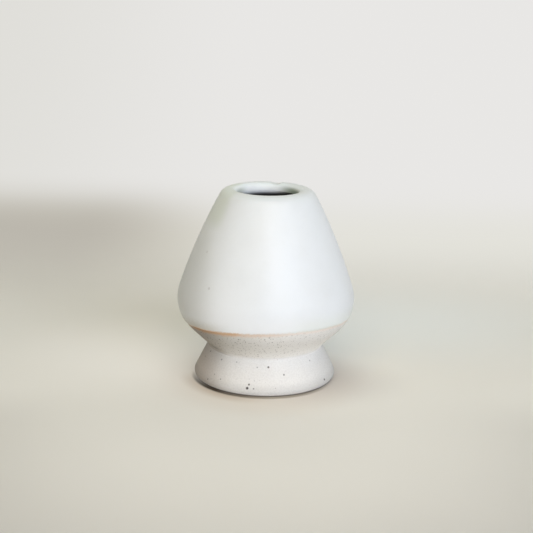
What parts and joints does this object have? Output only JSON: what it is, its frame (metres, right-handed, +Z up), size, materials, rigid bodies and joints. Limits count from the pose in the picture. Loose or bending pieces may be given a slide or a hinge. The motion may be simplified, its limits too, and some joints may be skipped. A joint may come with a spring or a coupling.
{
  "type": "tea whisk holder",
  "caption": "Hollow stoneware cone on a flared foot, open at the top with a rim vent, white glazed above bare clay; keeps a bamboo tea whisk in shape as it dries.",
  "frame": {"origin": "centre of the circle that the foot stands on", "axes": "+Z up along the axis of the turned form, through the mouth; +Y towards the vent in the rim; +X to the right of it, seen from -Y"},
  "size_m": [0.0696, 0.0696, 0.075],
  "materials": {
    "body_clay": "bare fired stoneware, grey-beige with fine iron speckles, with an orange blush where the glaze stops",
    "foot_clay": "bare fired stoneware, pale grey with sparse dark iron specks",
    "slip": "bare fired slip, grey-beige",
    "satin_glaze": "white satin matt glaze",
    "liner_glaze": "white satin glaze"
  },
  "bodies": {
    "root": {"clay_body": "body_clay", "clay_foot": "foot_clay", "joint_slip": "slip", "outer_glaze": "satin_glaze", "liner_glaze": "liner_glaze"}
  },
  "joints": []
}
